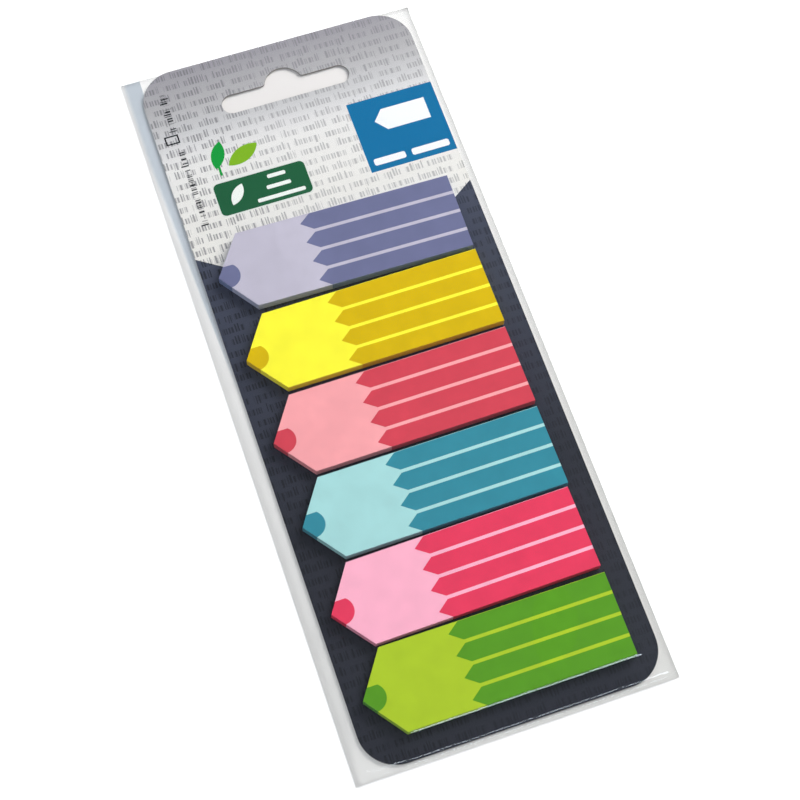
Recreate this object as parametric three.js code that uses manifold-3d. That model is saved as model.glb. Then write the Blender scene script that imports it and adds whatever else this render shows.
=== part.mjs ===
// A retail pack of sticky index tabs: six pads of pencil-shaped tabs on a printed card,
// in a clear film sleeve. Card and sleeve share one hang slot.
// Millimetres. The pack lies on its back: +X runs along a tab from its point to its blunt
// end, +Y runs up the card towards the hang slot, and +Z points out of the printed face.
// The origin is the middle of the sleeve's underside.
import * as THREE from "three";
import { mergeVertices } from "three/addons/utils/BufferGeometryUtils.js";
import Module from "manifold-3d";

// One tab, and the pad that it comes in
const TAB_LENGTH = 55;
const TAB_WIDTH = 18;
const TAB_TAPER = 6.4; // length of the pointed end
const TAB_TIP_DROP = 0.35; // the point lies this far below mid-width
const SHEET_THICKNESS = 0.09;
const SHEETS_PER_PAD = 25;

// Where the pads sit on the card
const PAD_GAP = 1.33; // between one pad and the next
const HEADER_LENGTH = 45.2; // bare card above the first pad
const FOOT_LENGTH = 5.35; // bare card below the last pad
const POINT_MARGIN = 3.1; // bare card beyond the points
const BLUNT_MARGIN = 5.4; // bare card beyond the blunt ends

// Backing card
const CARD_THICKNESS = 0.45;
const CARD_CORNER_RADIUS = 8;
const CARD_ARC_STEPS = 12;

// Hang slot: a flat bar with round ends and a peak in the middle of its upper edge
const SLOT_WIDTH = 30;
const SLOT_HEIGHT = 4.8;
const SLOT_DEPTH = 12.4; // from the card's upper edge to the middle of the bar
const SLOT_PEAK_RADIUS = 4.5;
const SLOT_PEAK_RISE = 1.2; // the peak's centre lies this far above the bar's middle
const SLOT_FILLET_RADIUS = 0.8; // where the peak runs into the bar
const SLOT_ARC_STEPS = 12;

// Film sleeve: a flat bag, folded at the foot, welded at both sides and open at the top
const FILM_THICKNESS = 0.08;
const FILM_SLACK = 0.12; // air between the front film and what it lies on
const FILM_EASE = 0.7; // the film leaves a pad this far outside its edge
const SLEEVE_MARGIN_LEFT = 3.35;
const SLEEVE_MARGIN_RIGHT = 1.65;
const SLEEVE_MARGIN_FOOT = 1.3;
const WELD_WIDTH = 0.6;
const HEADER_SLOPE = 7; // the film comes down from the first pad over this length

// The pads from the top down, each as it was put on by hand, a little off and turned
const PADS = [
  { name: "pad_lavender", colour: 0x7174a0, shiftX: 0.2, shiftY: 0, turn: -0.9 },
  { name: "pad_yellow", colour: 0xdabb08, shiftX: 0.15, shiftY: -0.3, turn: 0.35 },
  { name: "pad_coral", colour: 0xd74c5c, shiftX: -0.1, shiftY: -0.5, turn: 0.6 },
  { name: "pad_teal", colour: 0x408fa1, shiftX: -0.1, shiftY: -0.5, turn: 0.6 },
  { name: "pad_pink", colour: 0xe94465, shiftX: -0.3, shiftY: -0.2, turn: 1.1 },
  { name: "pad_green", colour: 0x5ba02a, shiftX: 0.1, shiftY: 0, turn: 0.2 },
];

// Sizes that follow from those above
const padThickness = SHEETS_PER_PAD * SHEET_THICKNESS;
const padPitch = TAB_WIDTH + PAD_GAP;
const padsLength = PADS.length * padPitch - PAD_GAP;
const card = {
  width: POINT_MARGIN + TAB_LENGTH + BLUNT_MARGIN,
  length: HEADER_LENGTH + padsLength + FOOT_LENGTH,
};
const sleeve = {
  width: SLEEVE_MARGIN_LEFT + card.width + SLEEVE_MARGIN_RIGHT,
  length: card.length + SLEEVE_MARGIN_FOOT,
};
card.left = -sleeve.width / 2 + SLEEVE_MARGIN_LEFT;
card.right = card.left + card.width;
card.top = sleeve.length / 2;
card.foot = card.top - card.length;
const pads = {
  left: card.left + POINT_MARGIN,
  right: card.right - BLUNT_MARGIN,
  top: card.top - HEADER_LENGTH,
  foot: card.foot + FOOT_LENGTH,
};
const level = {
  cardBack: FILM_THICKNESS,
  cardFace: FILM_THICKNESS + CARD_THICKNESS,
  padFace: FILM_THICKNESS + CARD_THICKNESS + padThickness,
};

// The slot's outline, counter-clockwise from the left end of its lower edge
function drawSlot(path) {
  const x = (card.left + card.right) / 2;
  const y = card.top - SLOT_DEPTH;
  const endRadius = SLOT_HEIGHT / 2;
  const reach = SLOT_WIDTH / 2 - endRadius;
  const filletY = endRadius + SLOT_FILLET_RADIUS;
  const filletUp = filletY - SLOT_PEAK_RISE;
  const filletX = Math.sqrt((SLOT_PEAK_RADIUS + SLOT_FILLET_RADIUS) ** 2 - filletUp ** 2);
  const peakStart = Math.atan2(filletUp, filletX);
  const quarter = Math.PI / 2;
  path.moveTo(x - reach, y - endRadius);
  path.lineTo(x + reach, y - endRadius);
  path.absarc(x + reach, y, endRadius, -quarter, quarter, false);
  path.lineTo(x + filletX, y + endRadius);
  path.absarc(x + filletX, y + filletY, SLOT_FILLET_RADIUS, -quarter, peakStart - Math.PI, true);
  path.absarc(x, y + SLOT_PEAK_RISE, SLOT_PEAK_RADIUS, peakStart, Math.PI - peakStart, false);
  path.absarc(x - filletX, y + filletY, SLOT_FILLET_RADIUS, -peakStart, -quarter, true);
  path.lineTo(x - reach, y + endRadius);
  path.absarc(x - reach, y, endRadius, quarter, 3 * quarter, false);
  return path;
}

function cardShape() {
  const { left, right, top, foot } = card;
  const r = CARD_CORNER_RADIUS;
  const quarter = Math.PI / 2;
  const shape = new THREE.Shape();
  shape.moveTo(left + r, foot);
  shape.lineTo(right - r, foot);
  shape.absarc(right - r, foot + r, r, -quarter, 0, false);
  shape.lineTo(right, top - r);
  shape.absarc(right - r, top - r, r, 0, quarter, false);
  shape.lineTo(left + r, top);
  shape.absarc(left + r, top - r, r, quarter, 2 * quarter, false);
  shape.lineTo(left, foot + r);
  shape.absarc(left + r, foot + r, r, 2 * quarter, 3 * quarter, false);
  shape.holes.push(drawSlot(new THREE.Path()));
  return shape;
}

// One tab about its own middle, with the pencil point on the left
function tabShape() {
  const halfLength = TAB_LENGTH / 2;
  const halfWidth = TAB_WIDTH / 2;
  const shape = new THREE.Shape();
  shape.moveTo(-halfLength, -TAB_TIP_DROP);
  shape.lineTo(-halfLength + TAB_TAPER, -halfWidth);
  shape.lineTo(halfLength, -halfWidth);
  shape.lineTo(halfLength, halfWidth);
  shape.lineTo(-halfLength + TAB_TAPER, halfWidth);
  shape.closePath();
  return shape;
}

// A closed solid over a grid of stations, from its floor up to topAt(x, y).
// Where the top meets the floor, the solid thins out to a sharp edge.
function solidOverGrid(xs, ys, floor, topAt) {
  const positions = [];
  const corner = (x, y, z) => positions.push(x, y, z);
  const quad = (a, b, c, d) => {
    for (const point of [a, b, c, a, c, d]) corner(...point);
  };
  const up = (x, y) => [x, y, topAt(x, y)];
  const down = (x, y) => [x, y, floor];
  for (let i = 0; i + 1 < xs.length; i++) {
    for (let j = 0; j + 1 < ys.length; j++) {
      const [x0, x1, y0, y1] = [xs[i], xs[i + 1], ys[j], ys[j + 1]];
      quad(up(x0, y0), up(x1, y0), up(x1, y1), up(x0, y1));
      quad(down(x0, y0), down(x0, y1), down(x1, y1), down(x1, y0));
    }
  }
  const [west, east] = [xs[0], xs[xs.length - 1]];
  const [south, north] = [ys[0], ys[ys.length - 1]];
  for (let i = 0; i + 1 < xs.length; i++) {
    const [x0, x1] = [xs[i], xs[i + 1]];
    quad(down(x0, south), down(x1, south), up(x1, south), up(x0, south));
    quad(down(x1, north), down(x0, north), up(x0, north), up(x1, north));
  }
  for (let j = 0; j + 1 < ys.length; j++) {
    const [y0, y1] = [ys[j], ys[j + 1]];
    quad(down(west, y1), down(west, y0), up(west, y0), up(west, y1));
    quad(down(east, y0), down(east, y1), up(east, y1), up(east, y0));
  }
  const geometry = new THREE.BufferGeometry();
  geometry.setAttribute("position", new THREE.Float32BufferAttribute(positions, 3));
  return geometry;
}

// A straight run of heights between stations, flat beyond the first and the last
function heightAlong(stations) {
  return (place) => {
    const next = stations.findIndex(([at]) => place <= at);
    if (next === 0) return stations[0][1];
    if (next === -1) return stations[stations.length - 1][1];
    const [from, low] = stations[next - 1];
    const [to, high] = stations[next];
    return low + ((high - low) * (place - from)) / (to - from);
  };
}

const wasm = await Module();
wasm.setup();

function toSolid(geometry) {
  geometry.deleteAttribute("normal");
  geometry.deleteAttribute("uv");
  const merged = mergeVertices(geometry, 1e-4);
  const index = Array.from(merged.index.array);
  const corners = [];
  for (let i = 0; i < index.length; i += 3) {
    const [a, b, c] = index.slice(i, i + 3);
    if (a !== b && b !== c && c !== a) corners.push(a, b, c);
  }
  return new wasm.Manifold(
    new wasm.Mesh({
      numProp: 3,
      vertProperties: Float32Array.from(merged.attributes.position.array),
      triVerts: Uint32Array.from(corners),
    }),
  );
}

function toGeometry(solid) {
  const mesh = solid.getMesh();
  const geometry = new THREE.BufferGeometry();
  geometry.setAttribute("position", new THREE.BufferAttribute(mesh.vertProperties, 3));
  geometry.setIndex(new THREE.BufferAttribute(mesh.triVerts, 1));
  geometry.computeVertexNormals();
  return geometry;
}

// The sleeve: a back film lying flat, and a front film that lies on the card at the header,
// steps up over the pads and comes down to the back film at both sides and the foot
function sleeveGeometry() {
  const west = -sleeve.width / 2;
  const east = sleeve.width / 2;
  const south = -sleeve.length / 2;
  const north = sleeve.length / 2;
  const onBack = level.cardBack;
  const onCard = level.cardFace + FILM_SLACK;
  const onPads = level.padFace + FILM_SLACK;
  const across = [
    [west + WELD_WIDTH, onBack],
    [card.left, onCard],
    [pads.left - FILM_EASE, onPads],
    [pads.right + FILM_EASE, onPads],
    [card.right, onCard],
    [east - WELD_WIDTH, onBack],
  ];
  const along = [
    [south + WELD_WIDTH, onBack],
    [card.foot, onCard],
    [pads.foot - FILM_EASE, onPads],
    [pads.top + FILM_EASE, onPads],
    [pads.top + FILM_EASE + HEADER_SLOPE, onCard],
    [north, onCard],
  ];
  const heightAcross = heightAlong(across);
  const heightAlongCard = heightAlong(along);
  const inside = (x, y) => Math.min(heightAcross(x), heightAlongCard(y));
  const outside = (x, y) => inside(x, y) + FILM_THICKNESS;
  const xs = across.map(([x]) => x);
  const ys = along.map(([y]) => y);
  const mouth = north + FILM_THICKNESS;
  const skin = toSolid(solidOverGrid([west, ...xs, east], [south, ...ys], 0, outside));
  const room = toSolid(solidOverGrid(xs, [...ys, mouth], onBack, inside));
  const slot = new THREE.ExtrudeGeometry(drawSlot(new THREE.Shape()), {
    depth: 3 * onPads,
    curveSegments: SLOT_ARC_STEPS,
    bevelEnabled: false,
  }).translate(0, 0, -onPads);
  return toGeometry(skin.subtract(room).subtract(toSolid(slot)));
}

function finish(colour, roughness) {
  return new THREE.MeshStandardMaterial({ color: colour, roughness, metalness: 0 });
}

const pack = new THREE.Group();

const film = finish(0xe8ecf0, 0.1);
film.transparent = true;
film.opacity = 0.25;
const sleeveMesh = new THREE.Mesh(sleeveGeometry(), film);
sleeveMesh.name = "film_sleeve";
pack.add(sleeveMesh);

const cardGeometry = new THREE.ExtrudeGeometry(cardShape(), {
  depth: CARD_THICKNESS,
  curveSegments: CARD_ARC_STEPS,
  bevelEnabled: false,
});
const cardMesh = new THREE.Mesh(cardGeometry, finish(0x3b3f46, 0.55));
cardMesh.name = "backing_card";
cardMesh.position.z = level.cardBack;
pack.add(cardMesh);

PADS.forEach((pad, row) => {
  const geometry = new THREE.ExtrudeGeometry(tabShape(), {
    depth: padThickness,
    bevelEnabled: false,
  });
  const mesh = new THREE.Mesh(geometry, finish(pad.colour, 0.7));
  mesh.name = pad.name;
  mesh.position.set(
    (pads.left + pads.right) / 2 + pad.shiftX,
    pads.top - TAB_WIDTH / 2 - row * padPitch + pad.shiftY,
    level.cardFace,
  );
  mesh.rotation.z = THREE.MathUtils.degToRad(pad.turn);
  pack.add(mesh);
});

export default pack;
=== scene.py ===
# %% [markdown]
# # A pack of sticky index tabs
# Six pads of pencil-shaped tabs sit on a printed card, and card and pads slip into a clear film
# sleeve. The solids of the pack come ready made as a fixed frame, in metres, lying on their back:
# +X runs along a tab from its point to its blunt end, +Y runs up the card to the hang slot and +Z
# comes out of the printed face. This lesson dresses that frame: the card gets its print, each pad
# becomes a stack of thin sheets, and the sleeve becomes a thin film that bends and shines.

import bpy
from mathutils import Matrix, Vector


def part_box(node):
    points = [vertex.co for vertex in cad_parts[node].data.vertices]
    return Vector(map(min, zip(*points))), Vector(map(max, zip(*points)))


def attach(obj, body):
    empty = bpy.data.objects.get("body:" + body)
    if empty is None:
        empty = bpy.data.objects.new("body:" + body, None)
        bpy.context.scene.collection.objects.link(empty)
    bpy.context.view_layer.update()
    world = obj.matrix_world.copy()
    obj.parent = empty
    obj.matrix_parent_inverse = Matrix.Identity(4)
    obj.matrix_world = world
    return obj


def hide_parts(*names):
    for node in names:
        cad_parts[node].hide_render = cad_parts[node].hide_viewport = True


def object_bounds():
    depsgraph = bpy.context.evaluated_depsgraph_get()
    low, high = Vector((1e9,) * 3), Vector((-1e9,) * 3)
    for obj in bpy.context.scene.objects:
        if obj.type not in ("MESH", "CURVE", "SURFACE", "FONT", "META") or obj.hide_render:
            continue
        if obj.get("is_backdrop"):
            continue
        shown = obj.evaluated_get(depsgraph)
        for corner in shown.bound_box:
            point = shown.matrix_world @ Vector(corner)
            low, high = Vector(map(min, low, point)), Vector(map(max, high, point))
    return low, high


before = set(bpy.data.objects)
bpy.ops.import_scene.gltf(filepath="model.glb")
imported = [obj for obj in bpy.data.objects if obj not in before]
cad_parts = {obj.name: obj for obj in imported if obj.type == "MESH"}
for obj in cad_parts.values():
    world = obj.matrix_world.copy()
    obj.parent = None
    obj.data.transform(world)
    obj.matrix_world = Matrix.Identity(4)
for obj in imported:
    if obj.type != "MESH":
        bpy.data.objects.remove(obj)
cad_low, cad_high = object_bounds()
print("the frame holds", sorted(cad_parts))

# %% Tools and units
import math
import random

import bmesh
import bpy
from mathutils import Matrix, Vector, noise

MM = 0.001
PACK_BODY = "root"
MERGE_DISTANCE = 0.001 * MM
random.seed(18)

# %% [markdown]
# ## Two helpers for every finish
# A material in Blender is a tree of nodes. One helper adds a node, fills its sockets in order and
# sets its options, so that a finish reads as a list of steps. The other turns the hex colours that
# a printer or a screen uses into the linear light values that the renderer adds up.


# %% Helpers for materials
def add(tree, kind, *inputs, named=None, **options):
    """Adds a node. inputs fill its sockets in order, and named holds sockets by name."""
    made = tree.nodes.new("ShaderNode" + kind)
    for option, value in options.items():
        setattr(made, option, value)
    for place, value in [*enumerate(inputs), *(named or {}).items()]:
        if isinstance(value, bpy.types.NodeSocket):
            tree.links.new(value, made.inputs[place])
        elif value is not None:
            made.inputs[place].default_value = value
    return made


def linear(hex_colour):
    """An sRGB hex colour such as '#0c6fa1' as linear red, green, blue and alpha."""
    channels = [int(hex_colour[i : i + 2], 16) / 255 for i in (1, 3, 5)]
    return (*[c / 12.92 if c <= 0.04045 else ((c + 0.055) / 1.055) ** 2.4 for c in channels], 1)


def new_finish(name):
    """An empty material of that name, its node tree and its output."""
    finish = bpy.data.materials.new(name)
    finish.use_nodes = True
    finish.node_tree.nodes.clear()
    output = add(finish.node_tree, "OutputMaterial")
    return finish, finish.node_tree, output


print("blue panel ink as light:", [round(c, 3) for c in linear("#0c6fa1")])

# %% [markdown]
# ## Where the print goes
# Print is laid out in millimetres from the middle of the piece that carries it. A Mapping node of
# the texture kind does that for the shader: it takes the place on the object, moves the middle to
# zero, turns it straight and divides by a millimetre.


# %% Helpers that lay out print
SLIVER = 1e-4  # millimetres, so that a box with sharp corners still has an inside


def print_grid(tree, middle, turn=0.0):
    """Millimetres along and across a piece, as a vector, an x and a y."""
    place = add(tree, "TexCoord").outputs["Object"]
    grid = add(tree, "Mapping", place, middle, (0, 0, turn), (MM, MM, MM), vector_type="TEXTURE")
    flat = add(tree, "VectorMath", grid.outputs[0], (1, 1, 0), operation="MULTIPLY").outputs[0]
    split = add(tree, "SeparateXYZ", flat)
    return flat, split.outputs[0], split.outputs[1]


def rounded_box(tree, flat, middle, size, corner=0.0):
    """1 inside a box with round corners. All sizes are in millimetres."""
    reach = (size[0] / 2 - corner, size[1] / 2 - corner, 0)
    away = add(tree, "VectorMath", flat, (*middle, 0), operation="SUBTRACT")
    side = add(tree, "VectorMath", away.outputs[0], operation="ABSOLUTE")
    past = add(tree, "VectorMath", side.outputs[0], reach, operation="SUBTRACT")
    kept = add(tree, "VectorMath", past.outputs[0], (0, 0, 0), operation="MAXIMUM")
    far = add(tree, "VectorMath", kept.outputs[0], operation="LENGTH")
    return add(tree, "Math", far.outputs["Value"], corner + SLIVER, operation="LESS_THAN").outputs[0]


def disc(tree, flat, middle, radius):
    """1 inside a disc."""
    far = add(tree, "VectorMath", flat, (*middle, 0), operation="DISTANCE")
    return add(tree, "Math", far.outputs["Value"], radius, operation="LESS_THAN").outputs[0]


def both(tree, first, second):
    return add(tree, "Math", first, second, operation="MULTIPLY").outputs[0]


def any_of(tree, masks):
    """1 where at least one mask is 1."""
    joined = masks[0]
    for mask in masks[1:]:
        joined = add(tree, "Math", joined, mask, operation="MAXIMUM").outputs[0]
    return joined


def ink(tree, mask, over, colour):
    """colour printed over another colour where mask is 1."""
    named = {"Factor": mask, 6: over, 7: colour}
    return add(tree, "Mix", named=named, data_type="RGBA").outputs[2]


# %% [markdown]
# ## The pads
# Each pad is 25 paper tabs, die cut to the shape of a pencil and held by the gum on their backs.
# One plain block would do from above, but its cut sides would be too smooth. So the block that the
# frame holds is thinned to one sheet and copied until there are 25. All but the lowest and the top
# one lie a hair out of line, as in a real pad.

# %% Stack the sheets of each pad
SHEETS_PER_PAD = 25
SHEET_GAP = 0.004 * MM
SHEET_SHIFT = 0.035 * MM
FLAT_WITHIN = math.radians(1)
END_REACH = 2 * MM  # corners this near the farthest one belong to the blunt end
PADS = ["lavender", "yellow", "coral", "teal", "pink", "green"]


def sheet_of(node_name, thickness):
    """The pad's block from the frame, merged and thinned to one sheet that lies on the card."""
    low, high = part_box(node_name)
    sheet = bmesh.new()
    sheet.from_mesh(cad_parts[node_name].data)
    bmesh.ops.remove_doubles(sheet, verts=sheet.verts, dist=MERGE_DISTANCE)
    bmesh.ops.dissolve_limit(
        sheet, angle_limit=FLAT_WITHIN, verts=sheet.verts, edges=sheet.edges
    )
    thin = Matrix.Scale(thickness / (high.z - low.z), 4, (0, 0, 1))
    floor = Matrix.Translation((0, 0, low.z))
    bmesh.ops.transform(sheet, matrix=floor @ thin @ floor.inverted(), verts=sheet.verts)
    return sheet


def stack_of_sheets(name, node_name):
    """A pad as separate sheets in one mesh."""
    low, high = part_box(node_name)
    pitch = (high.z - low.z) / SHEETS_PER_PAD
    stack = sheet_of(node_name, pitch - SHEET_GAP)
    first = list(stack.verts) + list(stack.edges) + list(stack.faces)
    for level in range(1, SHEETS_PER_PAD):
        copy = bmesh.ops.duplicate(stack, geom=first)["geom"]
        corners = [part for part in copy if isinstance(part, bmesh.types.BMVert)]
        steady = 0 if level == SHEETS_PER_PAD - 1 else 1
        shift = [steady * random.uniform(-SHEET_SHIFT, SHEET_SHIFT) for _ in "xy"]
        bmesh.ops.translate(stack, verts=corners, vec=(*shift, level * pitch))
    mesh = bpy.data.meshes.new(name)
    stack.to_mesh(mesh)
    stack.free()
    piece = bpy.data.objects.new(name, mesh)
    bpy.context.scene.collection.objects.link(piece)
    return piece


def blunt_end(node_name):
    """The middle of a pad's blunt end, and how far the pad is turned."""
    corners = [v.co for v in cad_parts[node_name].data.vertices]
    right = sorted(corners, key=lambda c: c.x)[-1].x
    end = [c for c in corners if c.x > right - END_REACH]
    top = max(end, key=lambda c: c.y)
    foot = min(end, key=lambda c: c.y)
    middle = (top + foot) / 2
    turn = math.atan2(foot.x - top.x, top.y - foot.y)
    return Vector((middle.x, middle.y, 0)), turn


stacks = {}
for pad in PADS:
    stacks[pad] = stack_of_sheets("tabs_" + pad, "pad_" + pad)
    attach(stacks[pad], PACK_BODY)
    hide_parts("pad_" + pad)
    end, turn = blunt_end("pad_" + pad)
    faces = len(stacks[pad].data.polygons)
    print(pad, faces, "faces, turned", round(math.degrees(turn), 2), "degrees")

# %% [markdown]
# ## Pencil print
# The tabs are printed to look like pencils: four barrel stripes with pointed ends in a strong ink,
# thin pale lines between them, a bare pale cone, and a round lead with a flat top at the point.
# Every line is worked out from the middle of the blunt end, so the print turns with its pad. The
# paper is uncoated, so the ink sinks in a little, shows a faint cloud of fibres and has hardly any
# gloss. Seen from the side, the stacked edges carry the same print, mixed with their own shade.

# %% Print a tab
STRIPE_PITCH = 4.7  # millimetres, as every size of the print
STRIPE_HALF = 1.98
STRIPE_SHOULDER = -31.9
STRIPE_POINT = -34.5
STRIPE_MIDDLE_LINE = -0.1
LEAD_AT = (-53.15, -0.3)
LEAD_RADIUS = 2.95
LEAD_TOP = 1.95
FIBRE_PER_M = 1 / (0.35 * MM)
CLOUD_PER_M = 1 / (4 * MM)
CLOUD_TINT = (0.3, 0.7, 0.95, 1.03)  # noise from 0.3 to 0.7 becomes this range of brightness
FACE_LIMIT = 0.5  # a face that points up by more than this is a top
FIBRE_BUMP = 0.12
BUMP_DEPTH = 0.02 * MM
PAPER_ROUGHNESS = 0.78
PAPER_GLOSS = 0.25
EDGE_SHARE = 0.45  # how much of a cut side's colour is its own shade


def pencil_print(tree, flat, x, y):
    """1 where the strong ink lies: the four stripes and the lead."""
    line = add(tree, "Math", y, STRIPE_MIDDLE_LINE, operation="SUBTRACT")
    lane = add(tree, "Math", line.outputs[0], STRIPE_PITCH, operation="FLOORED_MODULO")
    side = add(tree, "Math", lane.outputs[0], STRIPE_PITCH / 2, operation="SUBTRACT")
    off = add(tree, "Math", side.outputs[0], operation="ABSOLUTE").outputs[0]
    in_lane = add(tree, "Math", off, STRIPE_HALF, operation="LESS_THAN").outputs[0]
    slope = (STRIPE_SHOULDER - STRIPE_POINT) / STRIPE_HALF
    edge = add(tree, "Math", off, slope, STRIPE_POINT, operation="MULTIPLY_ADD").outputs[0]
    past_point = add(tree, "Math", x, edge, operation="GREATER_THAN").outputs[0]
    under_top = add(tree, "Math", y, LEAD_TOP, operation="LESS_THAN").outputs[0]
    lead = both(tree, disc(tree, flat, LEAD_AT, LEAD_RADIUS), under_top)
    return any_of(tree, [both(tree, in_lane, past_point), lead])


def printed_paper(name, node_name, pale, strong, edge_shade):
    """Uncoated paper with the pencil print, for one pad."""
    finish, tree, output = new_finish(name)
    middle, turn = blunt_end(node_name)
    flat, x, y = print_grid(tree, middle, turn)
    place = add(tree, "TexCoord").outputs["Object"]
    print_mask = pencil_print(tree, flat, x, y)
    colour = ink(tree, print_mask, linear(pale), linear(strong))
    cloud = add(tree, "TexNoise", named={"Vector": place, "Scale": CLOUD_PER_M, "Detail": 4.0})
    tint = add(tree, "MapRange", cloud.outputs[0], *CLOUD_TINT).outputs[0]
    clouded = add(tree, "VectorMath", colour, named={"Scale": tint}, operation="SCALE").outputs[0]
    facing = add(tree, "SeparateXYZ", add(tree, "NewGeometry").outputs["Normal"]).outputs[2]
    on_side = add(tree, "Math", facing, FACE_LIMIT, operation="LESS_THAN").outputs[0]
    side = ink(tree, EDGE_SHARE, clouded, linear(edge_shade))
    shown = ink(tree, on_side, clouded, side)
    fibre = add(tree, "TexNoise", named={"Vector": place, "Scale": FIBRE_PER_M, "Detail": 3.0})
    bump = add(
        tree,
        "Bump",
        named={"Height": fibre.outputs[0], "Strength": FIBRE_BUMP, "Distance": BUMP_DEPTH},
    )
    paper = add(tree, "BsdfPrincipled", named={"Base Color": shown, "Normal": bump.outputs[0]})
    paper.inputs["Roughness"].default_value = PAPER_ROUGHNESS
    paper.inputs["Specular IOR Level"].default_value = PAPER_GLOSS
    tree.links.new(paper.outputs[0], output.inputs[0])
    return finish


PAPERS = {
    "lavender": ("#c1bdcd", "#707498", "#8fb0d8"),
    "yellow": ("#fdf73c", "#d8b800", "#f4d468"),
    "coral": ("#f9aaaf", "#d54858", "#c07078"),
    "teal": ("#acdddd", "#388ea1", "#7c9ca2"),
    "pink": ("#ffb8cf", "#e94062", "#c04458"),
    "green": ("#b2ce2d", "#5b9d22", "#7cb878"),
}
for pad, inks in PAPERS.items():
    stacks[pad].data.materials.append(printed_paper("uncoated_paper_" + pad, "pad_" + pad, *inks))
print("printed", len(PAPERS), "pads")

# %% [markdown]
# ## The printed card
# The card is white-lined board, printed on its face and lightly varnished, then die cut with round
# corners and a hang slot. Its shape in the frame is right as it is, so it only gets a finish. From
# the top down the face is a lilac grey that fades to off-white, with rows of small upright strokes
# used as a pattern, a blue panel at the right edge, a green label, and a charcoal field with a
# V-shaped top. The charcoal is lighter and bluer towards its top, a painted reflection of the film's
# haze. The varnish gives a soft sheen, and the board's own fine grain shows as tiny specks.

# %% Sizes of the card's print, in millimetres from its middle
FADE_FROM = 82.0
FADE_TO = 34.0
CHARCOAL_AT_EDGE = 35.4
CHARCOAL_SLOPE = 0.66
CHARCOAL_LOWEST = 22.0
DEEPEST_AT = -30.0
CARD_HALF_WIDTH = 31.75
ROW_PITCH = 2.8
FIRST_ROW = -1.1
LETTER_LENGTH = 1.3
LETTERS_IN_WORD = 5.5
STROKES_IN_LETTER = 2
WORD_GAP = 0.08  # of a word's length, on each side
LETTER_GAP = 0.12  # of a letter's length, on each side
STROKE_GAP = 0.27  # of a stroke's room, on each side
BASE_LINE = 0.45  # this and the next three are heights in letter lengths
X_HEIGHT = 1.5
CAP_HEIGHT = 1.92
TAIL_DEPTH = 0.38
TALL_FROM = 0.7  # this and the next are chances
DEEP_BELOW = 0.1
BODY_TONE = 0.28
ROW_SHIFT = 57.31  # letters from one row's start to the next, so that no two rows look alike
PANEL = ((21.7, 52.85), (20.3, 18.2))
LABEL = ((-12.5, 47.6), (21.0, 8.2))
LABEL_CORNER = 1.2


# %% Rows of small strokes
def cells(tree, place, feature):
    """Random cells along a line: how far the nearest edge is, or each cell's own random colour."""
    return add(
        tree,
        "TexVoronoi",
        named={"W": place, "Scale": 1.0, "Randomness": 0.7},
        voronoi_dimensions="1D",
        feature=feature,
    )


def between(tree, value, low, high):
    """1 where a value lies between two others."""
    above = add(tree, "Math", value, low, operation="GREATER_THAN").outputs[0]
    below = add(tree, "Math", value, high, operation="LESS_THAN").outputs[0]
    return both(tree, above, below)


def small_print(tree, along, up, first_row, row_pitch, letter_length):
    """How dark small print is: words of blurred blocks with upright strokes in them."""
    rows = add(tree, "Math", up, first_row, operation="SUBTRACT").outputs[0]
    rows = add(tree, "Math", rows, row_pitch, operation="DIVIDE").outputs[0]
    row = add(tree, "Math", rows, operation="FLOOR").outputs[0]
    in_row = add(tree, "Math", rows, operation="FRACT").outputs[0]
    height = add(tree, "Math", in_row, row_pitch / letter_length, operation="MULTIPLY").outputs[0]
    run = add(tree, "Math", along, letter_length, operation="DIVIDE").outputs[0]
    run = add(tree, "Math", row, ROW_SHIFT, run, operation="MULTIPLY_ADD").outputs[0]
    in_words = add(tree, "Math", run, LETTERS_IN_WORD, operation="DIVIDE").outputs[0]
    in_strokes = add(tree, "Math", run, STROKES_IN_LETTER, operation="MULTIPLY").outputs[0]
    word_edge = cells(tree, in_words, "DISTANCE_TO_EDGE").outputs[0]
    in_word = add(tree, "Math", word_edge, WORD_GAP, operation="GREATER_THAN").outputs[0]
    stroke_edge = cells(tree, in_strokes, "DISTANCE_TO_EDGE").outputs[0]
    stroke = add(tree, "Math", stroke_edge, STROKE_GAP, operation="GREATER_THAN").outputs[0]
    letter_edge = cells(tree, run, "DISTANCE_TO_EDGE").outputs[0]
    block = add(tree, "Math", letter_edge, LETTER_GAP, operation="GREATER_THAN").outputs[0]
    chance = add(tree, "SeparateColor", cells(tree, run, "F1").outputs["Color"]).outputs[0]
    tall = add(tree, "Math", chance, TALL_FROM, operation="GREATER_THAN").outputs[0]
    deep = add(tree, "Math", chance, DEEP_BELOW, operation="LESS_THAN").outputs[0]
    top = add(tree, "Math", tall, CAP_HEIGHT - X_HEIGHT, X_HEIGHT, operation="MULTIPLY_ADD")
    foot = add(tree, "Math", deep, -TAIL_DEPTH, BASE_LINE, operation="MULTIPLY_ADD")
    body = both(tree, between(tree, height, BASE_LINE, X_HEIGHT), block)
    stroke_height = between(tree, height, foot.outputs[0], top.outputs[0])
    mark = both(tree, stroke_height, both(tree, stroke, block))
    toned = add(tree, "Math", body, BODY_TONE, operation="MULTIPLY").outputs[0]
    return both(tree, any_of(tree, [toned, mark]), in_word)


# %% Plain shapes for the panel, the label and the header
LEAF_ROUND = 1.35  # the discs' radius, and half the leaf's breadth, in its reach
LEAF_BREADTH = 0.42


def leaf(tree, flat, middle, reach, lean):
    """A leaf: the lens where two discs meet."""
    radius = reach * LEAF_ROUND
    apart = radius - reach * LEAF_BREADTH
    across = (math.cos(lean + math.pi / 2) * apart, math.sin(lean + math.pi / 2) * apart)
    first = disc(tree, flat, (middle[0] + across[0], middle[1] + across[1]), radius)
    second = disc(tree, flat, (middle[0] - across[0], middle[1] - across[1]), radius)
    return both(tree, first, second)


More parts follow.
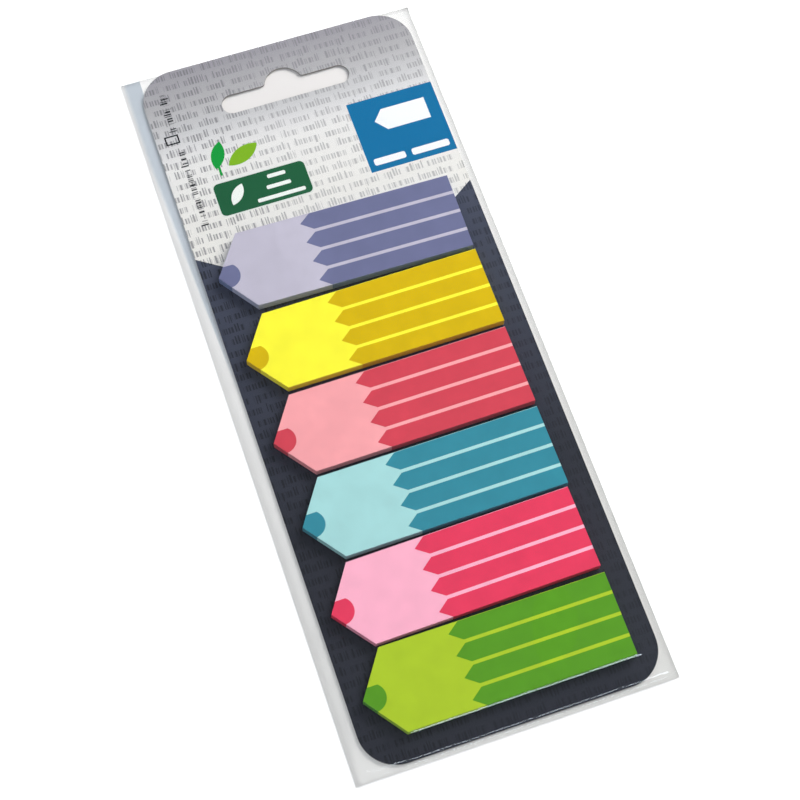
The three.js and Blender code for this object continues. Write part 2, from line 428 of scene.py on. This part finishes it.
def arrow_tab(tree, flat, x, y, middle, size, point):
    """A tab with a pointed left end."""
    body = rounded_box(tree, flat, middle, size)
    up = add(tree, "Math", y, middle[1], operation="SUBTRACT").outputs[0]
    off = add(tree, "Math", up, operation="ABSOLUTE").outputs[0]
    left = middle[0] - size[0] / 2
    edge = add(tree, "Math", off, 2 * point / size[1], left, operation="MULTIPLY_ADD").outputs[0]
    return both(tree, body, add(tree, "Math", x, edge, operation="GREATER_THAN").outputs[0])


# %% Print the card
SIDE_WORDS = [(49.8, 14.6), (60.4, 5.0), (72.2, 10.0)]  # middle and length along the edge
SIDE_COLUMN = -27.2
SIDE_WIDTH = 2.6
SIDE_LETTER = 1.15
SHEET_MARK = ((-28.1, 65.4), (3.2, 2.3))
LEAVES = [((-19.6, 58.6), 3.6, 1.2, "#0f9a3c"), ((-14.2, 57.2), 4.3, 0.45, "#7fb320")]
STEM = ((-20.2, 55.0), (0.55, 3.2))
LABEL_BARS = [
    ((-8.7, 50.1), (4.2, 0.95)),
    ((-8.9, 47.5), (5.6, 0.95)),
    ((-9.0, 44.9), (11.0, 0.95)),
]
LABEL_LEAF = ((-18.3, 47.9), 2.9, 0.95)
PANEL_TAB = ((22.6, 55.9), (12.5, 5.4), 2.3)
PANEL_BARS = [((16.6, 46.0), (7.4, 1.7)), ((26.2, 46.0), (8.8, 1.7))]
PANEL_BAR_CORNER = 0.5
LABEL_BAR_CORNER = 0.35
STEM_CORNER = 0.25
LABEL_RIM = 0.6  # how much larger the rim is than the label
MARK_HOLLOW = 0.7  # how much smaller the hollow is than the sheet mark
TEXT_STRENGTH = (-16.0, -8.0, 0.75, 0.5)  # from one place across the card to another
HEADER_LIGHTEST = "#e9e7e2"
HEADER_DARKEST = "#9d9ba2"
HEADER_TONES = [(0.5, "#e5e4e3"), (0.58, "#dcdbdc"), (0.67, "#cacacc"), (0.83, "#b1b0b3")]
# the charcoal is lighter and bluer at its top: painted reflection of the film's haze
CHARCOAL_TOP = "#464b5c"
CHARCOAL_FOOT = "#2d2f38"
TEXT_ON_DARK = "#1d1f24"
TEXT_ON_LIGHT = "#75757a"
PANEL_BLUE = "#0c6fa1"
LABEL_GREEN = "#1c5d3b"
STEM_GREEN = "#0f9a3c"
SPECK_PER_M = 1 / (0.25 * MM)
SPECK_TINT = (0.3, 0.7, 0.95, 1.05)  # noise from 0.3 to 0.7 becomes this range of brightness
SPECK_BUMP = 0.06
BOARD_BACK = "#9a9894"
BOARD_EDGE = "#c9c7c0"
BOARD_ROUGHNESS = 0.5
BOARD_GLOSS = 0.15


def card_print(tree, flat, x, y):
    """The colour of the printed face, with a painted reflection of the film's haze on its charcoal.
    """
    fade = add(tree, "MapRange", y, FADE_TO, FADE_FROM, 0.0, 1.0).outputs[0]
    header = add(tree, "ValToRGB", fade)
    header.color_ramp.elements[0].color = linear(HEADER_LIGHTEST)
    header.color_ramp.elements[1].color = linear(HEADER_DARKEST)
    for place, tone in HEADER_TONES:
        header.color_ramp.elements.new(place).color = linear(tone)
    from_middle = add(tree, "Math", x, operation="ABSOLUTE").outputs[0]
    in_from_edge = add(
        tree, "Math", CARD_HALF_WIDTH, from_middle, operation="SUBTRACT"
    ).outputs[0]
    slanted = add(
        tree, "Math", in_from_edge, -CHARCOAL_SLOPE, CHARCOAL_AT_EDGE, operation="MULTIPLY_ADD"
    ).outputs[0]
    border = add(tree, "Math", slanted, CHARCOAL_LOWEST, operation="MAXIMUM").outputs[0]
    is_light = add(tree, "Math", y, border, operation="GREATER_THAN").outputs[0]
    # darker towards the foot; the lighter top is a painted reflection of the film's haze
    sink = add(tree, "MapRange", y, CHARCOAL_AT_EDGE, DEEPEST_AT, 0.0, 1.0).outputs[0]
    charcoal = ink(tree, sink, linear(CHARCOAL_TOP), linear(CHARCOAL_FOOT))
    colour = ink(tree, is_light, charcoal, header.outputs[0])
    text = small_print(tree, x, y, FIRST_ROW, ROW_PITCH, LETTER_LENGTH)
    text_ink = ink(tree, is_light, linear(TEXT_ON_DARK), linear(TEXT_ON_LIGHT))
    strength = add(tree, "MapRange", x, *TEXT_STRENGTH).outputs[0]
    colour = ink(tree, both(tree, text, strength), colour, text_ink)
    colour = ink(tree, rounded_box(tree, flat, *PANEL), colour, linear(PANEL_BLUE))
    tab = arrow_tab(tree, flat, x, y, *PANEL_TAB)
    marks = [tab, *[rounded_box(tree, flat, *bar, PANEL_BAR_CORNER) for bar in PANEL_BARS]]
    colour = ink(tree, any_of(tree, marks), colour, linear("#f1f3f5"))
    rim_size = (LABEL[1][0] + LABEL_RIM, LABEL[1][1] + LABEL_RIM)
    rim = rounded_box(tree, flat, LABEL[0], rim_size, LABEL_CORNER)
    colour = ink(tree, rim, colour, linear("#dfe3df"))
    colour = ink(tree, rounded_box(tree, flat, *LABEL, LABEL_CORNER), colour, linear(LABEL_GREEN))
    marks = [rounded_box(tree, flat, *bar, LABEL_BAR_CORNER) for bar in LABEL_BARS]
    marks.append(leaf(tree, flat, *LABEL_LEAF))
    colour = ink(tree, any_of(tree, marks), colour, linear("#eef2ee"))
    for middle, reach, lean, green in LEAVES:
        colour = ink(tree, leaf(tree, flat, middle, reach, lean), colour, linear(green))
    colour = ink(tree, rounded_box(tree, flat, *STEM, STEM_CORNER), colour, linear(STEM_GREEN))
    up_the_edge = add(tree, "Math", SIDE_COLUMN, x, operation="SUBTRACT").outputs[0]
    words = small_print(tree, y, up_the_edge, -SIDE_WIDTH / 2, SIDE_WIDTH, SIDE_LETTER)
    places = [
        rounded_box(tree, flat, (SIDE_COLUMN, middle), (SIDE_WIDTH, length))
        for middle, length in SIDE_WORDS
    ]
    side = [both(tree, words, any_of(tree, places))]
    sheet_middle, sheet_size = SHEET_MARK
    inner = (sheet_size[0] - MARK_HOLLOW, sheet_size[1] - MARK_HOLLOW)
    hole = rounded_box(tree, flat, sheet_middle, inner)
    whole = rounded_box(tree, flat, sheet_middle, sheet_size)
    side.append(add(tree, "Math", whole, hole, operation="SUBTRACT").outputs[0])
    return ink(tree, any_of(tree, side), colour, linear("#15171b"))


def printed_board(name, node_name):
    """Varnished board with the print on its face and bare board on its cut edges and back."""
    finish, tree, output = new_finish(name)
    low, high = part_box(node_name)
    middle = (low + high) / 2
    flat, x, y = print_grid(tree, (middle.x, middle.y, 0))
    place = add(tree, "TexCoord").outputs["Object"]
    speck = add(tree, "TexNoise", named={"Vector": place, "Scale": SPECK_PER_M, "Detail": 2.0})
    tint = add(tree, "MapRange", speck.outputs[0], *SPECK_TINT).outputs[0]
    face = add(
        tree, "VectorMath", card_print(tree, flat, x, y), named={"Scale": tint}, operation="SCALE"
    ).outputs[0]
    facing = add(tree, "SeparateXYZ", add(tree, "NewGeometry").outputs["Normal"]).outputs[2]
    on_face = add(tree, "Math", facing, FACE_LIMIT, operation="GREATER_THAN").outputs[0]
    on_back = add(tree, "Math", facing, -FACE_LIMIT, operation="LESS_THAN").outputs[0]
    bare = ink(tree, on_back, linear(BOARD_BACK), linear(BOARD_EDGE))
    shown = ink(tree, on_face, bare, face)
    bump = add(
        tree,
        "Bump",
        named={"Height": speck.outputs[0], "Strength": SPECK_BUMP, "Distance": BUMP_DEPTH},
    )
    board = add(tree, "BsdfPrincipled", named={"Base Color": shown, "Normal": bump.outputs[0]})
    board.inputs["Roughness"].default_value = BOARD_ROUGHNESS
    board.inputs["Specular IOR Level"].default_value = BOARD_GLOSS
    tree.links.new(board.outputs[0], output.inputs[0])
    return finish


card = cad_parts["backing_card"]
card.data.materials.clear()
card.data.materials.append(printed_board("varnished_board", "backing_card"))
print("card finish has", len(card.data.materials[0].node_tree.nodes), "nodes")

# %% [markdown]
# ## The film sleeve
# The sleeve is a bag of thin clear polypropylene. Its back lies flat, its front lies on the card,
# climbs over the pads, and comes down again to the welds at both sides and the fold at the foot. A
# grid is a good start for such a film: every point only has to be lifted to the height at which the
# film would hang there. Then each film is made thick and cut through at the slot.

# %% Heights of the front film
FILM_THICKNESS = 0.05 * MM
FILM_REST = 0.09 * MM
FILM_COLUMNS = 150
FILM_ROWS = 220
CROWDING = 0.72
BEND = 0.35 * MM
FOLD_HEIGHT = 0.8 * MM
FOLD_WIDTH = 0.3 * MM
RIDGE_HEIGHT = 0.2 * MM
RIDGE_FROM = 0.3 * MM
RIDGE_TO = 0.55 * MM
CRINKLE = 0.14 * MM
CRINKLE_FROM = 0.4 * MM
CRINKLE_TO = 3.2 * MM
PAD_CLEARANCE = 0.5 * MM
TIP_CLEARANCE = 0.2 * MM
CARD_CLEARANCE = 0.1 * MM
FILM_GAP = 0.01 * MM
HEADER_SLOPE = 7 * MM
RIDGE_LEFT = 0.3  # how much of the ridge is left where it ends
FREE_FROM = 2 * MM  # this far in from the sides and the fold, the film lies loose
BROAD_WAVE = (14 * MM, 26 * MM, 3.1)  # lengths across and up, and the noise's third place
FINE_WAVE = (5 * MM, 9 * MM, 7.7)
CRINKLE_WAVE = (5 * MM, 1.5 * MM, 5.3)
BROAD_SLACK = 0.05  # this and the next are millimetres
FINE_SLACK = 0.015
BACK_COLUMNS = 12
BACK_ROWS = 24

sleeve_low, sleeve_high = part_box("film_sleeve")
card_low, card_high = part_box("backing_card")
pad_boxes = [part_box("pad_" + pad) for pad in PADS]
pads_low = Vector([min(box[0][axis] for box in pad_boxes) for axis in range(3)])
pads_high = Vector([max(box[1][axis] for box in pad_boxes) for axis in range(3)])
on_back = sleeve_low.z + 2 * FILM_THICKNESS + FILM_GAP
on_card = card_high.z + FILM_REST
on_pads = pads_high.z + FILM_REST


def straight_run(place, stations):
    """The height at a place, straight between stations and flat beyond them."""
    if place <= stations[0][0]:
        return stations[0][1]
    for (start, low), (end, high) in zip(stations, stations[1:]):
        if place <= end:
            return low + (high - low) * (place - start) / (end - start)
    return stations[-1][1]


def run_of_heights(place, stations):
    """The same run with round bends, as stiff film takes them."""
    near = [straight_run(place + BEND * step, stations) for step in (-1, -0.5, 0, 0.5, 1)]
    return sum(near) / len(near)


def softly_lower(first, second, softness):
    """The lower of two heights, with a round bend where they meet."""
    blend = max(softness - abs(first - second), 0) / softness
    return min(first, second) - blend * blend * softness / 4


WELD = 0.7 * MM
ACROSS = [
    (sleeve_low.x + WELD, on_back),
    (pads_low.x - TIP_CLEARANCE, on_pads),
    (pads_high.x + PAD_CLEARANCE, on_pads),
    (card_high.x + CARD_CLEARANCE, on_card),
    (sleeve_high.x - WELD, on_back),
]
FOOT = [
    (sleeve_low.y, on_back),
    (sleeve_low.y + FOLD_WIDTH, on_back + FOLD_HEIGHT),
    (card_low.y - RIDGE_FROM, on_card + RIDGE_HEIGHT),
    (card_low.y + RIDGE_TO, on_card + RIDGE_LEFT * RIDGE_HEIGHT),
]
HEAD = [
    (pads_high.y + PAD_CLEARANCE, on_pads),
    (pads_high.y + PAD_CLEARANCE + HEADER_SLOPE, on_card),
]
lowest_pad = [v.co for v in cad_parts["pad_" + PADS[-1]].data.vertices]
pad_foot = min(lowest_pad, key=lambda corner: corner.y)
pad_tip = min(lowest_pad, key=lambda corner: corner.x)
pad_end = max(lowest_pad, key=lambda corner: corner.x)


def stations_up(x):
    """The film's heights up the pack. It bends along the lower edges of the lowest pad."""
    far = pad_tip if x < pad_foot.x else pad_end
    slope = (far.y - pad_foot.y) / (far.x - pad_foot.x)
    edge = pad_foot.y + (x - pad_foot.x) * slope
    return [*FOOT, (edge - PAD_CLEARANCE, on_pads), *HEAD]


def wave(x, y, shape):
    """Smooth noise from -1 to 1. shape holds its lengths and its third place."""
    across, up, place = shape
    return noise.noise(Vector((x / across, y / up, place)))


def slack(x, y):
    """How far loose film stands off what it lies on, in small waves."""
    from_side = min(x - sleeve_low.x, sleeve_high.x - x, y - sleeve_low.y)
    free = min(max(from_side / FREE_FROM, 0), 1)
    broad = 1 + wave(x, y, BROAD_WAVE)
    fine = 1 + wave(x, y, FINE_WAVE)
    up = y - sleeve_low.y
    by_fold = max(min(up / CRINKLE_FROM, (CRINKLE_TO - up) / (CRINKLE_TO - CRINKLE_FROM)), 0)
    crinkle = max(wave(x, y, CRINKLE_WAVE), 0)
    loose = free * (BROAD_SLACK * broad + FINE_SLACK * fine) * MM
    return loose + by_fold * crinkle * CRINKLE


def film_height(x, y):
    resting = softly_lower(run_of_heights(x, ACROSS), run_of_heights(y, stations_up(x)), BEND)
    return max(resting + slack(x, y), on_back)


# %% Make the film
def crowded(share):
    """Moves a share from -0.5 to 0.5 so that steps get finer towards both ends."""
    return share + CROWDING * math.sin(2 * math.pi * share) / (2 * math.pi)


def sheet_grid(columns, rows, height):
    """A grid over the whole sleeve, finer towards its edges, lifted to height(x, y)."""
    size = sleeve_high - sleeve_low
    film = bmesh.new()
    bmesh.ops.create_grid(film, x_segments=columns, y_segments=rows, size=0.5)
    middle = (sleeve_low + sleeve_high) / 2
    for vert in film.verts:
        vert.co.x = middle.x + crowded(vert.co.x) * size.x
        vert.co.y = middle.y + crowded(vert.co.y) * size.y
        vert.co.z = height(vert.co.x, vert.co.y)
    return film


def thick_film(film, name):
    """The sheet made as thick as FILM_THICKNESS, as a mesh object."""
    skin = bmesh.ops.solidify(film, geom=film.faces[:], thickness=FILM_THICKNESS)
    bmesh.ops.recalc_face_normals(film, faces=film.faces)
    mesh = bpy.data.meshes.new(name)
    film.to_mesh(mesh)
    film.free()
    mesh.shade_smooth()
    piece = bpy.data.objects.new(name, mesh)
    bpy.context.scene.collection.objects.link(piece)
    print(name, "has", len(mesh.polygons), "faces after", len(skin["geom"]), "new parts")
    return piece


back_top = sleeve_low.z + FILM_THICKNESS
front = thick_film(sheet_grid(FILM_COLUMNS, FILM_ROWS, film_height), "clear_sleeve")
back = thick_film(sheet_grid(BACK_COLUMNS, BACK_ROWS, lambda x, y: back_top), "sleeve_back")

# %% [markdown]
# The slot is punched through card and film together, so its outline is already there: the card's
# own cut edge. The faces of that edge are copied, closed at both ends and pulled out to a punch,
# which a boolean then takes out of the film.


# %% Punch the slot
PUNCH_REACH = 16 * MM  # to each side of the card's middle
PUNCH_DOWN = 20 * MM  # this and the next are measured down from the card's top edge
PUNCH_MARGIN = 1 * MM
PUNCH_TOP = 6 * MM
PUNCH_FOOT = -2 * MM


def slot_punch():
    """A closed solid with the outline of the card's hang slot."""
    punch = bmesh.new()
    punch.from_mesh(card.data)
    bmesh.ops.remove_doubles(punch, verts=punch.verts, dist=MERGE_DISTANCE)
    middle = (card_low + card_high) / 2
    slot_low = card_high.y - PUNCH_DOWN

    def in_slot(vert):
        near = abs(vert.co.x - middle.x) < PUNCH_REACH
        return near and slot_low < vert.co.y < card_high.y - PUNCH_MARGIN

    outside = [v for v in punch.verts if not in_slot(v)]
    bmesh.ops.delete(punch, geom=outside, context="VERTS")
    level = [f for f in punch.faces if abs(f.normal.z) > 0.5]
    bmesh.ops.delete(punch, geom=level, context="FACES")
    for vert in punch.verts:
        vert.co.z = PUNCH_TOP if vert.co.z > middle.z else PUNCH_FOOT
    bmesh.ops.holes_fill(punch, edges=[e for e in punch.edges if e.is_boundary])
    bmesh.ops.recalc_face_normals(punch, faces=punch.faces)
    mesh = bpy.data.meshes.new("slot_punch")
    punch.to_mesh(mesh)
    punch.free()
    piece = bpy.data.objects.new("slot_punch", mesh)
    bpy.context.scene.collection.objects.link(piece)
    return piece


def cut_with(piece, punch):
    """Takes the punch out of the piece and applies the cut."""
    cut = piece.modifiers.new("slot", "BOOLEAN")
    cut.operation = "DIFFERENCE"
    cut.solver = "EXACT"
    cut.object = punch
    bpy.context.view_layer.update()
    shaped = piece.evaluated_get(bpy.context.evaluated_depsgraph_get())
    mesh = bpy.data.meshes.new_from_object(shaped)
    piece.modifiers.clear()
    piece.data = mesh


punch = slot_punch()
for film in (front, back):
    before = len(film.data.polygons)
    cut_with(film, punch)
    print(film.name, "went from", before, "to", len(film.data.polygons), "faces")
bpy.data.objects.remove(punch)

# %% [markdown]
# Clear film shows what is behind it and mirrors a little of the room: a few percent at each of its
# two surfaces when seen straight on, and much more at a slant. A Fresnel value mixes the two. The
# back film is also tinted: a grey that grows towards the foot and the right, and a blue-grey painted
# shadow of the card beside its upper left edge.

# %% Clear film
FILM_IOR = 1.36  # below the 1.49 of polypropylene, because the photograph shows it mirror less
FILM_GREY = "#f3f3f2"
# painted shadow: the card's shadow, painted as a blue-grey tint of the back film by the card's upper
# left edge
PAINTED_CARD_SHADOW = "#eceff2"
SHADE_RISE = (0.0, 62.0)  # from one height on the card to another, in millimetres
SHADE_WIDTH = (0.4, 3.2)
FOOT_SHADE = (60.0, -55.0, 0.05, 0.55)
RIGHT_SHADE = (0.0, 63.0, 0.0, 0.25)
SHADE_EDGE = (-1.0, -0.6, 0.0, 1.0)  # in shade widths out from the card's left edge
SHADE_SIDE = 1.0
SHADE_START = (0.0, 20.0)
FILM_ROUGHNESS = 0.07


def back_colour(tree):
    """The back film's tint: a grey that grows to the foot and the right, and a painted blue-grey
    shadow of the card by its left edge.
    """
    x, y = print_grid(tree, (card_low.x, 0, 0))[1:]
    low_down = add(tree, "MapRange", y, *FOOT_SHADE).outputs[0]
    to_right = add(tree, "MapRange", x, *RIGHT_SHADE).outputs[0]
    low_down = add(tree, "Math", low_down, to_right).outputs[0]
    passes = ink(tree, low_down, linear("#ffffff"), linear(FILM_GREY))
    width = add(tree, "MapRange", y, *SHADE_RISE, *SHADE_WIDTH).outputs[0]
    share = add(tree, "Math", x, width, operation="DIVIDE").outputs[0]
    # where the painted shadow of the card lies, fading out from the card's left edge
    card_shadow_paint = add(tree, "MapRange", share, *SHADE_EDGE, interpolation_type="SMOOTHSTEP")
    on_left = add(tree, "Math", x, SHADE_SIDE, operation="LESS_THAN").outputs[0]
    on_left = both(tree, on_left, add(tree, "MapRange", y, *SHADE_START).outputs[0])
    return ink(tree, both(tree, card_shadow_paint.outputs[0], on_left), passes, linear(PAINTED_CARD_SHADOW))


def clear_film(name, colour=None):
    """Clear film. colour(tree) gives the tint of what passes through, if it has one."""
    finish, tree, output = new_finish(name)
    through = add(tree, "BsdfTransparent", colour(tree) if colour else linear("#ffffff"))
    mirror = {"Metallic": 1.0, "Roughness": FILM_ROUGHNESS}
    shine = add(tree, "BsdfPrincipled", linear("#ffffff"), named=mirror)
    inside = add(tree, "NewGeometry").outputs["Backfacing"]
    same_bend = add(tree, "MapRange", inside, 0.0, 1.0, FILM_IOR, 1 / FILM_IOR)
    share = add(tree, "Fresnel", same_bend.outputs[0])
    mixed = add(tree, "MixShader", share.outputs[0], through.outputs[0], shine.outputs[0])
    tree.links.new(mixed.outputs[0], output.inputs[0])
    return finish


film_finishes = [
    (front, clear_film("clear_polypropylene_film")),
    (back, clear_film("back_film", back_colour)),
]
for film, film_finish in film_finishes:
    film.data.materials.clear()
    film.data.materials.append(film_finish)
    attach(film, PACK_BODY)
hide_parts("film_sleeve")

# %% [markdown]
# ## Floor, light and camera
# The pack lies on plain matt white, with a little light of its own where the camera or a mirror
# image sees it, so that it reads as a white page and still shows the pack's shadow. The patch seen
# through the slot goes without that light and is painted darker: painted shade under the card. A
# broad lamp stands high at the upper right, and two large ones and a dim sky fill the shadows. Film
# mirrors every lamp, so a photographer shields it from them. Here those lamps are left out of mirror
# images, and one strip that is seen nowhere else draws the folds.

# %% Floor
FLOOR_SIZE = 3.0
FLOOR_DROP = 0.05 * MM
FLOOR_LIFT = 0.24
FLOOR_COLOUR = "#f4f4f4"
UNDER_SLOT = ((0.0, 71.0), (40.0, 14.0))
# painted shade: the floor seen through the slot, darker as if in the card's shadow
SLOT_PAINTED_SHADE = "#dfdcdb"


def white_floor(name):
    finish, tree, output = new_finish(name)
    flat = print_grid(tree, (0, 0, 0))[0]
    in_slot = rounded_box(tree, flat, *UNDER_SLOT)
    matt = add(tree, "BsdfDiffuse", ink(tree, in_slot, linear(FLOOR_COLOUR), linear(SLOT_PAINTED_SHADE)))
    path = add(tree, "LightPath")
    seen = add(
        tree, "Math", path.outputs["Is Camera Ray"], path.outputs["Is Glossy Ray"],
        operation="MAXIMUM",
    )
    # no light of its own in the slot patch, part of the painted shade there
    level = add(tree, "MapRange", in_slot, 0.0, 1.0, FLOOR_LIFT, 0.0).outputs[0]
    lift = add(tree, "Math", seen.outputs[0], level, operation="MULTIPLY")
    glow = add(tree, "Emission", linear("#ffffff"), lift.outputs[0])
    both_shaders = add(tree, "AddShader", matt.outputs[0], glow.outputs[0])
    tree.links.new(both_shaders.outputs[0], output.inputs[0])
    return finish


ground = bmesh.new()
bmesh.ops.create_grid(ground, x_segments=1, y_segments=1, size=FLOOR_SIZE / 2)
bmesh.ops.translate(ground, verts=ground.verts, vec=(0, 0, -FLOOR_DROP))
floor_mesh = bpy.data.meshes.new("floor")
ground.to_mesh(floor_mesh)
ground.free()
floor = bpy.data.objects.new("floor", floor_mesh)
floor.data.materials.append(white_floor("matt_white_floor"))
bpy.context.scene.collection.objects.link(floor)
floor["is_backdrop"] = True

# %% Light
SKY_SHARE = 0.15
SKY_COLOUR = "#eef4ff"
LAMPS = [
    # name, where it stands, its size, its colour, its share of the light, only seen in mirrors
    ("key_lamp", (0.5, 0.3, 0.46), (0.45, 0.45), "#fffefa", 0.77, False),
    ("left_fill", (-0.62, 0.1, 0.62), (0.9, 0.9), "#f4f8ff", 0.22, False),
    ("foot_fill", (0.1, -0.7, 0.62), (0.9, 0.9), "#f4f8ff", 0.2, False),
    ("fold_strip", (0.19, -0.065, 0.65), (0.34, 0.1), "#e8f3ff", 0.24, True),
]

world = bpy.data.worlds.new("plain_sky")
world.use_nodes = True
world.node_tree.nodes.clear()
sky_output = add(world.node_tree, "OutputWorld")
sky = add(world.node_tree, "Background", linear(SKY_COLOUR), SKY_SHARE)
world.node_tree.links.new(sky.outputs[0], sky_output.inputs[0])
bpy.context.scene.world = world


def lamp(name, place, size, colour, share, only_mirrored):
    """A soft lamp that faces the pack, long side along X, and gives that share of the light."""
    at = Vector(place)
    light = bpy.data.lights.new(name, "AREA")
    light.energy = share * (math.pi * at.length) ** 2 / at.normalized().z
    light.color = linear(colour)[:3]
    light.shape = "RECTANGLE"
    light.size, light.size_y = size
    thing = bpy.data.objects.new(name, light)
    thing.location = at
    out = at.normalized()
    along = Vector((0, 1, 0)).cross(out).normalized()
    thing.rotation_euler = Matrix((along, out.cross(along), out)).transposed().to_euler()
    thing.visible_glossy = only_mirrored
    thing.visible_diffuse = not only_mirrored
    bpy.context.scene.collection.objects.link(thing)
    return light.energy


for row in LAMPS:
    print(row[0], "gives", round(lamp(*row), 2), "W")

# %% Camera
CAMERA_AIM = Vector((0.53, -8.96, 0.53)) * MM
CAMERA_AWAY = 397.6 * MM
CAMERA_AZIMUTH = math.radians(-23.47)
CAMERA_ELEVATION = math.radians(67.84)
CAMERA_ROLL = math.radians(4.72)
CAMERA_LENS = 84.7
CAMERA_SENSOR = 36
CAMERA_NEAR = 0.01

back_from_aim = Vector((
    math.sin(CAMERA_AZIMUTH) * math.cos(CAMERA_ELEVATION),
    -math.cos(CAMERA_AZIMUTH) * math.cos(CAMERA_ELEVATION),
    math.sin(CAMERA_ELEVATION),
))
camera_data = bpy.data.cameras.new("camera")
camera_data.lens = CAMERA_LENS
camera_data.sensor_width = CAMERA_SENSOR
camera_data.clip_start = CAMERA_NEAR
camera = bpy.data.objects.new("camera", camera_data)
level_view = (-back_from_aim).to_track_quat("-Z", "Y")
camera.rotation_mode = "QUATERNION"
camera.rotation_quaternion = level_view @ Matrix.Rotation(CAMERA_ROLL, 4, "Z").to_quaternion()
camera.location = CAMERA_AIM + back_from_aim * CAMERA_AWAY
bpy.context.scene.collection.objects.link(camera)
bpy.context.scene.camera = camera
bpy.context.scene.view_settings.view_transform = "Standard"

# %% [markdown]
# ## Compare sizes
# The dressed pack must stay as large as the frame says, so the last lines print how far it has grown
# past the frame on each side, in millimetres.

# %% Compare sizes and finish
dressed_low, dressed_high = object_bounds()
growth = (*(cad_low - dressed_low), *(dressed_high - cad_high))
print("grown by, in mm:", [round(v / MM, 2) for v in growth])
